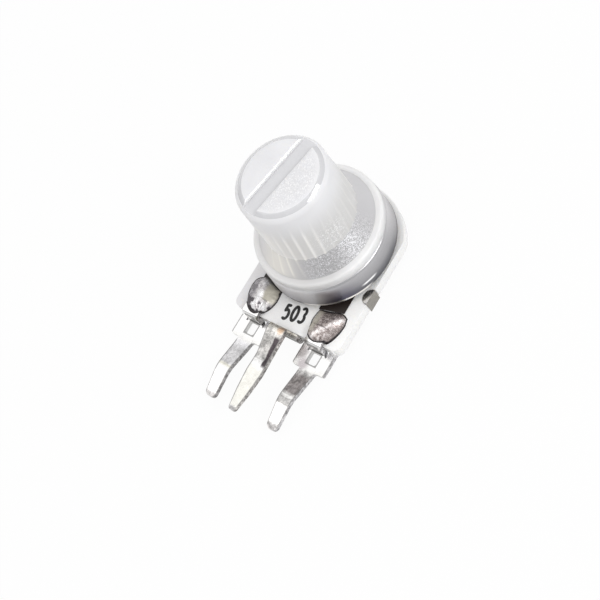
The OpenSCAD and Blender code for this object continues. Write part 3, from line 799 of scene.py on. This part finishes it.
def cut_slot(solid):
    """Cuts the screwdriver slot across the knob's top. The small chamfer towards -X catches the light."""
    half, high = SLOT_W / 2, KNOB_TOP_Z + CUTTER_SPARE
    outline = [(-half, SLOT_FLOOR_Z), (half, SLOT_FLOOR_Z), (half, high), (-half - SLOT_CHAMFER, high),
               (-half - SLOT_CHAMFER, KNOB_TOP_Z), (-half, KNOB_TOP_Z - SLOT_CHAMFER)]
    count = len(outline)
    cos, sin = math.cos(SLOT_TURN), math.sin(SLOT_TURN)
    turned = [(x * cos - y * sin, x * sin + y * cos, z)
              for y in (-CUTTER_REACH, CUTTER_REACH) for x, z in outline]
    mesh = bpy.data.meshes.new("slot_cutter")
    sides = [(k, (k + 1) % count, count + (k + 1) % count, count + k) for k in range(count)]
    ends = [tuple(range(count))[::-1], tuple(range(count, 2 * count))]
    mesh.from_pydata([tuple(c * MM for c in v) for v in turned], [], sides + ends)
    for one in solid.data.materials:
        mesh.materials.append(one)
    # The chamfer and the wall towards -X get the lighter copy: painted light
    mesh.polygons.foreach_set("material_index", [EDGE] * 4 + [LIT_WALL] * 2 + [EDGE] * 2)
    face_outward(mesh)
    cutter = bpy.data.objects.new("slot_cutter", mesh)
    link(cutter)
    cut = solid.modifiers.new("slot", "BOOLEAN")
    cut.object = cutter
    cut.operation = "DIFFERENCE"
    cut.solver = "EXACT"
    bpy.context.view_layer.update()
    graph = bpy.context.evaluated_depsgraph_get()
    carved = bpy.data.meshes.new_from_object(solid.evaluated_get(graph))
    solid.modifiers.remove(cut)
    old = solid.data
    solid.data = carved
    bpy.data.meshes.remove(old)
    bpy.data.objects.remove(cutter)
    bpy.data.meshes.remove(mesh)


# Cap: one spun sheet with a clamped floor, a well, a sloping shoulder, a bright skirt and a rolled rim
def offset_line(points, distance):
    """The line beside a line of points, at a distance to its left."""
    moved = []
    for i, point in enumerate(points):
        here = Vector(point)
        before = (here - Vector(points[i - 1])).normalized() if i else None
        after = (Vector(points[i + 1]) - here).normalized() if i + 1 < len(points) else None
        before, after = before or after, after or before
        along = (before + after).normalized()
        moved.append(tuple(here + distance / along.dot(before) * Vector((-along.y, along.x))))
    return moved


CAP_SHEET, CAP_FLOOR_Z, SHOULDER_Z, RIM_Z = 0.2, 0.4, 2.19, 0.56
# How much wider the skirt is at the rim than at its top, and points round the cap
SKIRT_SPREAD, CAP_POINTS = 0.08, 240


def make_cap():
    half = CAP_SHEET / 2
    skirt_r = RIM_R - half - SKIRT_SPREAD
    middle = [(1.1, CAP_FLOOR_Z), (1.95, CAP_FLOOR_Z)] + line((1.95, CAP_FLOOR_Z), (2.45, 2.75), 6)
    middle += [(2.56, 2.9), (2.75, 3.0)] + line((2.75, 3.0), (3.72, SHOULDER_Z), 6)
    middle += [(skirt_r - 0.12, SHOULDER_Z), (skirt_r - 0.035, 2.155), (skirt_r, 2.05),
               (skirt_r + 0.012, 1.7), (skirt_r + 0.03, 1.35), (skirt_r + 0.055, 1.0),
               (skirt_r + 0.075, 0.72), (RIM_R - half, RIM_Z)]
    outer = offset_line(middle, half)
    inner = offset_line(middle, -half)
    rim = arc((RIM_R - half, RIM_Z), half, 0, -180, 8)[1:-1]
    vertices, faces = lathe(outer + rim + inner[::-1], CAP_POINTS, loop=True)
    made = piece("cap_shell", vertices, faces, "rotor", nickel, ["rotor_cap"], sharp=50)
    # Where the cap's painted reflections and its painted lip lie round the axis
    tag(made.data, "shade", lambda v: step(-78, -50, direction(v)) * step(40, 10, direction(v)))
    tag(made.data, "track_reflection", lambda v: bell(direction(v), -44, 14))
    tag(made.data, "lip", lambda v: step(-84, -76, direction(v)) * step(-16, -24, direction(v)))


# Solder joints: domes over their own outlines, with ridges, wrinkles and a dark line of flux at the edge
def even_outline(points, per_side, passes, corners=()):
    """Closed outline with per_side points on each side, smoothed but for the corners named."""
    dense, fixed = [], set()
    for i, point in enumerate(points):
        if i in corners:
            fixed.add(len(dense))
        following = points[(i + 1) % len(points)]
        dense += [tuple(p + (q - p) * k / per_side for p, q in zip(point, following))
                  for k in range(per_side)]
    for _ in range(passes):
        dense = [p if i in fixed else tuple((a + 2 * b + c) / 4 for a, b, c in
                                            zip(dense[i - 1], p, dense[(i + 1) % len(dense)]))
                 for i, p in enumerate(dense)]
    return dense


# Front tab of an outer terminal: half width, top, and the places of its end and of its bend
TAB_HALF, TAB_TOP, TAB_END_Y, TAB_BEND_Y, TAB_BEND_R = 0.6, 0.36, -5.15, -5.98, 0.25


def tab_cover(place):
    """Height of the terminal's front tab under a point, and 0 beside it."""
    within = step(TAB_HALF + 0.1, TAB_HALF + 0.02, abs(abs(place.x) - LEAD_X))
    on_tab = within * step(TAB_END_Y + 0.12, TAB_END_Y + 0.02, place.y)
    past = min(max(TAB_BEND_Y - place.y, 0.0), TAB_BEND_R)
    return on_tab * (TAB_TOP - TAB_BEND_R + math.sqrt(TAB_BEND_R ** 2 - past ** 2))


def make_solder(name, node, edge, height, crease, finish, flux_width, tone_of, plain_of):
    """A joint over the outline edge. crease is a point and a direction: the surface falls off beside it."""
    rings = 34
    centre = Vector((sum(p[0] for p in edge), sum(p[1] for p in edge))) / len(edge)
    crease_at, crease_along = Vector(crease[0]), Vector(crease[1]).normalized()
    across = Vector((-crease_along.y, crease_along.x))
    vertices, values = [], []

    def add(point, t):
        place = centre + (point - centre) * t
        angle = math.degrees(math.atan2(point.y - centre.y, point.x - centre.x))
        wobble = 0.012 * noise.noise(Vector((place.x * 7, place.y * 7, 1.3)))
        width = (flux_width(angle) + wobble) / (point - centre).length
        inner = min(t / (1 - width), 1.0)
        dome = (1 - inner ** 2.4) ** 0.7
        fold = 1 - 0.3 * min(1.0, abs((place - crease_at).dot(across)) / 0.9)
        seed = Vector((place.x * 1.5, place.y * 1.5, 3.7))
        rough = (0.05 * noise.noise(seed) + 0.03 * noise.noise(seed * 2.9)) * (1 - inner ** 5)
        low = tab_cover(place)
        raised = 0.012 + (height - 0.6 * low) * dome * fold + rough if t < 1 else 0
        vertices.append((place.x, place.y, low + raised))
        values.append((step(0.975, 1.0, inner), tone_of(place), plain_of(place)))

    for j in range(1, rings + 1):
        for point in edge:
            add(Vector(point), 1 - (1 - j / rings) ** 1.35)
    add(centre + Vector((1, 0)), 0.0)
    top, count = len(vertices) - 1, len(edge)
    faces = [(top, k, (k + 1) % count) for k in range(count)]
    for j in range(rings - 1):
        base = j * count
        faces += [(base + k, base + count + k, base + count + (k + 1) % count, base + (k + 1) % count)
                  for k in range(count)]
    faces.append([(rings - 1) * count + k for k in range(count)][::-1])
    made = piece(name, vertices, faces, "base", finish, [node])
    for index, label in enumerate(("flux", "tone", "plain")):
        layer = made.data.attributes.new(label, "FLOAT", "POINT")
        layer.data.foreach_set("value", [value[index] for value in values])


# Share of the joint's outline that a pad covers, its lowest Y, and its thickness
PAD_SHARE, PAD_LOW_Y, PAD_T = 0.97, -5.9, 0.006


def make_pad(name, node, edge):
    """Thin silver layer under a solder joint, a little smaller than the joint."""
    centre = Vector((sum(p[0] for p in edge), sum(p[1] for p in edge))) / len(edge)
    shrunk = [centre + (Vector(p) - centre) * PAD_SHARE for p in edge]
    rim = [(p.x, max(p.y, PAD_LOW_Y)) for p in shrunk]
    count = len(rim)
    vertices = [(x, y, 0.0) for x, y in rim] + [(x, y, PAD_T) for x, y in rim]
    faces = [list(range(count))[::-1], list(range(count, 2 * count))]
    faces += [(k, (k + 1) % count, count + (k + 1) % count, count + k) for k in range(count)]
    piece(name, vertices, faces, "base", silver_material(), [node], sharp=30)


# Outlines of the solder joints
LEFT_JOINT = [(-3.1, -5.68), (-3.46, -5.3), (-3.62, -4.95), (-3.7, -4.45), (-3.65, -4.02), (-3.42, -3.76),
              (-3.18, -3.66), (-3.06, -3.5), (-2.92, -3.52), (-1.42, -4.0), (-1.38, -4.4), (-1.35, -4.82),
              (-1.42, -5.16), (-1.54, -5.47), (-1.72, -5.72), (-1.95, -5.98), (-2.15, -6.13), (-2.5, -6.13),
              (-2.83, -5.94)]
RIGHT_JOINT = [(1.73, -5.73), (1.57, -5.33), (1.43, -4.82), (1.48, -4.4), (1.56, -4.05), (2.2, -3.93),
               (2.97, -3.74), (3.25, -3.74), (3.57, -3.9), (3.7, -4.39), (3.65, -4.9), (3.5, -5.4),
               (3.3, -5.8), (2.95, -6.0), (2.5, -6.12), (2.15, -6.05)]


def left_flux(angle):
    """A thick black line along the upper right edge, a thin one round the rest, and a blob at the foot."""
    thick = step(20, 30, angle) * step(118, 106, angle)
    foot = step(-112, -98, angle) * step(-62, -78, angle)
    return 0.075 + 0.075 * thick + 0.17 * foot


def left_tone(p):
    """Painted shade in a dark band at the left, a lighter middle with a painted highlight, and lights and
    darks mixed at the foot.
    """
    across = p.x + 0.25 * (p.y + 4.7)
    broken = noise.noise(Vector((p.x * 3.1, p.y * 3.1, 4.7)))
    broken += 0.7 * noise.noise(Vector((p.x * 7, p.y * 7, 2.6)))
    tone = 0.3 + 0.32 * step(-3.05, -2.6, across + 0.1 * broken) + 0.12 * step(-4.4, -3.9, p.y)
    # Painted highlight in the middle of the joint
    painted_highlight = math.exp(-((p.x + 2.4) ** 2 + (p.y + 5.0) ** 2) / 0.1)
    foot = step(-5.2, -5.45, p.y)
    return tone + 0.6 * painted_highlight + foot * (1.4 * broken - 0.08)


def left_plain(p):
    return step(-2.3, -2.1, p.x + 0.25 * (p.y + 4.7)) * step(-5.25, -4.95, p.y)


def right_flux(angle):
    dark_top = step(80, 95, angle) * step(140, 120, angle)
    right = step(-75, -50, angle) * step(10, -10, angle)
    return 0.075 + 0.05 * right + 0.03 * dark_top


def right_tone(p):
    """A painted highlight along the diagonal crest, over grainy brown metal."""
    crest = abs((p - Vector((3.02, -4.81))).dot(Vector((0.83, -0.56))))
    broken = noise.noise(Vector((p.x * 7, p.y * 7, 5.1)))
    lower = step(-4.9, -5.4, p.y - 0.6 * (p.x - 3))
    return 0.37 + 0.5 * math.exp(-((crest + 0.06 * broken) / 0.15) ** 2) + 0.42 * broken + 0.08 * lower


def right_plain(p):
    return 0.8 * step(2.35, 1.95, p.x + 0.15 * (p.y + 4.7)) * step(-5.8, -5.4, p.y)


# Number on the ceramic, in black ink. An arc is a centre, two radii and two angles.
DIGITS = {
    "5": [[(0.86, 0.98), (0.24, 0.98), (0.15, 0.57), ("arc", 0.45, 0.33, 0.42, 0.33, 118, -142)]],
    "0": [[("arc", 0.5, 0.5, 0.42, 0.5, 90, -270)]],
    "3": [[("arc", 0.46, 0.75, 0.36, 0.25, 155, -80)], [("arc", 0.44, 0.27, 0.42, 0.27, 80, -150)]],
}


def digit_strokes(digit):
    """Centre lines of a digit in a box from 0 to 1."""
    strokes = []
    for stroke in DIGITS[digit]:
        points = []
        for item in stroke:
            if item[0] == "arc":
                _, x, y, rx, ry, start, end = item
                points += [(x + rx * a, y + ry * b) for a, b in arc((0, 0), 1, start, end, 28)]
            elif points:
                points += line(points[-1], item, 8)
            else:
                points.append(item)
        strokes.append(points)
    return strokes


def brush(points, half_width, closed):
    """A low rounded band of ink along points, with round ends."""
    vertices, faces = [], []
    count = len(points)
    lengths = [0.0]
    for a, b in zip(points, points[1:]):
        lengths.append(lengths[-1] + (b - a).length)
    for i, point in enumerate(points):
        before = points[i - 1] if i or closed else point
        after = points[(i + 1) % count] if i + 1 < count or closed else point
        along = (after - before).normalized()
        out = Vector((-along.y, along.x))
        to_end = min(lengths[i], lengths[-1] - lengths[i], half_width) / half_width
        width = half_width * (1 if closed else max(0.12, math.sqrt(1 - (1 - to_end) ** 2)))
        left, right = point + out * width, point - out * width
        vertices += [(left.x, left.y, 0.002), (point.x, point.y, 0.012), (right.x, right.y, 0.002),
                     (point.x, point.y, -0.01)]
    for i in range(count if closed else count - 1):
        a, b = 4 * i, 4 * ((i + 1) % count)
        faces += [(a + k, b + k, b + (k + 1) % 4, a + (k + 1) % 4) for k in range(4)]
    if not closed:
        faces += [(0, 1, 2, 3), (4 * count - 1, 4 * count - 2, 4 * count - 3, 4 * count - 4)]
    return vertices, faces


# Share of the number's length that one digit takes
DIGIT_SHARE = 0.27


def make_number(number, half_width):
    """A plain resistance number, slanted, in the place of the one in the photograph."""
    foot, along, up = Vector((-0.62, -5.68)), Vector((1.75, 0.31)), Vector((-0.13, 1.13))
    foot += along.normalized() * half_width + up.normalized() * half_width
    along, up = along * (1 - 2 * half_width / along.length), up * (1 - 2 * half_width / up.length)
    vertices, faces = [], []
    for index, digit in enumerate(number):
        start = index * (1 - DIGIT_SHARE) / (len(number) - 1)
        for stroke in digit_strokes(digit):
            placed = [foot + along * (start + DIGIT_SHARE * x) + up * y for x, y in stroke]
            closed = (placed[0] - placed[-1]).length < 1e-4
            placed = placed[:-1] if closed else evened(placed, 0.02)
            more, shapes = brush(placed, half_width, closed)
            faces += [tuple(len(vertices) + k for k in shape) for shape in shapes]
            vertices += more
    piece("number_" + number, vertices, faces, "base", ink_material(), sharp=60)


def evened(points, gap):
    """The same line with points about gap apart, so that round ends have enough of them."""
    result = [points[0]]
    for a, b in zip(points, points[1:]):
        parts = max(1, math.ceil((b - a).length / gap))
        result += [a + (b - a) * k / parts for k in range(1, parts + 1)]
    return result


# Tones of the tin, which are painted reflections and shade, and half widths of the leads along Y, where a
# dark line of painted shade follows their edges
WHITE, PALE, LILAC, MID = (0.985, 0.98, 0.975), (0.92, 0.91, 0.89), (0.78, 0.77, 0.78), (0.48, 0.47, 0.46)
BROWN, TIP, CREAM = (0.3, 0.275, 0.27), (0.42, 0.41, 0.41), (0.9, 0.885, 0.83)
LEG_WIDTHS = [(-11.98, 0.2), (-11.72, 0.39), (-9.85, 0.49), (-7.92, 0.55), (-7.72, 0.62), (-7.6, 1.2),
              (-6.05, 1.2)]
PIN_WIDTHS = [(-12.15, 0.1), (-11.95, 0.28), (-10.65, 0.446), (-9.32, 0.565), (-8.18, 0.525), (-6.53, 0.675),
              (-6.05, 0.675)]
# Half width, half height and middle Y of a shoulder plate's window
WINDOW = (0.35, 0.42, -6.8)
# Left lead: its spot is painted shade on its front tab
left_tin = tin_material("left_tin", [
    (-11.85, TIP), (-11.5, TIP), (-11.35, WHITE), (-9.8, WHITE), (-9.65, (0.8, 0.78, 0.68)), (-9.5, LILAC),
    (-8.4, LILAC), (-7.9, (0.88, 0.87, 0.89)), (-7.6, PALE), (-7.3, WHITE), (-5.6, WHITE)
], side=((0.3, 0.29, 0.29), (0.42, 0.41, 0.41)), widths=LEG_WIDTHS, centre_x=-LEAD_X, window=WINDOW,
   spots=[((-1.85, -6.25, 0.1), 0.3, (0.1, 0.095, 0.05))])
# Right lead: its grey spots on the shoulder and its dark spots by the tab are painted shade
right_tin = tin_material("right_tin", [
    (-11.85, TIP), (-11.5, TIP), (-11.3, WHITE), (-10.3, WHITE), (-10.1, MID), (-9.75, MID), (-9.6, PALE),
    (-9.3, BROWN), (-8.2, BROWN), (-7.9, MID), (-7.6, PALE), (-7.2, WHITE), (-5.6, WHITE)
], side=((0.42, 0.41, 0.42), (0.6, 0.59, 0.6)), widths=LEG_WIDTHS, centre_x=LEAD_X, window=WINDOW,
   spots=[((1.5, -6.7, -0.8), 0.7, (0.5, 0.47, 0.47)), ((2.0, -7.35, -0.8), 0.55, (0.6, 0.56, 0.57)),
          ((1.9, -6.15, 0.2), 0.4, (0.25, 0.24, 0.23)), ((3.15, -6.35, -0.2), 0.4, (0.3, 0.27, 0.24))])
middle_tin = tin_material("middle_tin", [
    (-12.0, TIP), (-11.75, TIP), (-11.6, CREAM), (-9.2, CREAM), (-8.8, WHITE), (-8.3, MID),
    (-7.6, (0.4, 0.39, 0.38)), (-7.0, (0.42, 0.41, 0.4)), (-6.6, (0.62, 0.61, 0.59)),
    (-6.3, (0.7, 0.67, 0.6)), (-5.6, PALE)
], side=((0.34, 0.32, 0.31), (0.62, 0.6, 0.58)), widths=PIN_WIDTHS,
   spots=[((0.35, -6.4, 0.5), 0.38, (0.8, 0.58, 0.42))],
   shaded_edge_band=(0.3, 0.1, -8.9, -6.9, (0.07, 0.06, 0.065)), hem=True)
milk, crystal = milk_material(), crystal_material()
edge = edge_material("clear_edge", (0.63, 0.63, 0.65), (0.67, 0.67, 0.69), 0.1)
# A lighter copy of the edge plastic: painted light on the slot's lit wall
lit_wall = edge_material("lit_wall", (0.95, 0.95, 0.95), (0.97, 0.97, 0.97), 0.15)
nickel = cap_material()
# Painted shade on the rounded edges of the plated sheet
painted_edge_shade = mottled_material("painted_edge_shade", (9, 3, 0.6), (0.35, (0.16, 0.155, 0.15)), (0.65, (0.3, 0.29, 0.28)),
                             0.002, Metallic=0.6, Roughness=0.4)

dress("ceramic_base", ceramic_material(), edge=0.13, steps=4)
dress("resistive_track", track_material())
for terminal, tin in (("left", left_tin), ("right", right_tin), ("collector", middle_tin)):
    dress(terminal + "_terminal", tin, edge=0.05, line_finish=painted_edge_shade)
dress("hub_rivet", brass_material("plated_rivet", (0.6, 0.57, 0.5), (0.78, 0.74, 0.66)), edge=0.05)
dress("wiper_spring", brass_material("spring_bronze", (0.55, 0.38, 0.2), (0.78, 0.6, 0.36)))
make_knob()
make_cap()
left_edge = even_outline(LEFT_JOINT, 7, 5, (7, 9))
right_edge = even_outline(RIGHT_JOINT, 8, 6, (4, 8))
make_pad("left_pad", "left_electrode", left_edge)
make_pad("right_pad", "right_electrode", right_edge)
make_solder("left_joint", "left_solder", left_edge, 0.6, ((-2.3, -4.7), (0.35, -1)),
            solder_material("left_solder_metal", [(0.15, (0.12, 0.11, 0.12)), (0.4, (0.45, 0.43, 0.45)),
                                                  (0.62, (0.72, 0.69, 0.69)), (0.95, (0.99, 0.98, 0.99))],
                            (0.57, 0.54, 0.46), 5, 0.14),
            left_flux, left_tone, left_plain)
make_solder("right_joint", "right_solder", right_edge, 0.6, ((3.02, -4.81), (0.56, 0.83)),
            solder_material("right_solder_metal", [(0.15, (0.16, 0.13, 0.125)), (0.42, (0.4, 0.345, 0.33)),
                                                   (0.65, (0.62, 0.56, 0.545)), (0.9, (0.97, 0.92, 0.91))],
                            (0.5, 0.47, 0.4), 17, 0.2),
            right_flux, right_tone, right_plain)
make_number("503", 0.098)

bpy.context.scene.view_settings.view_transform = "Standard"
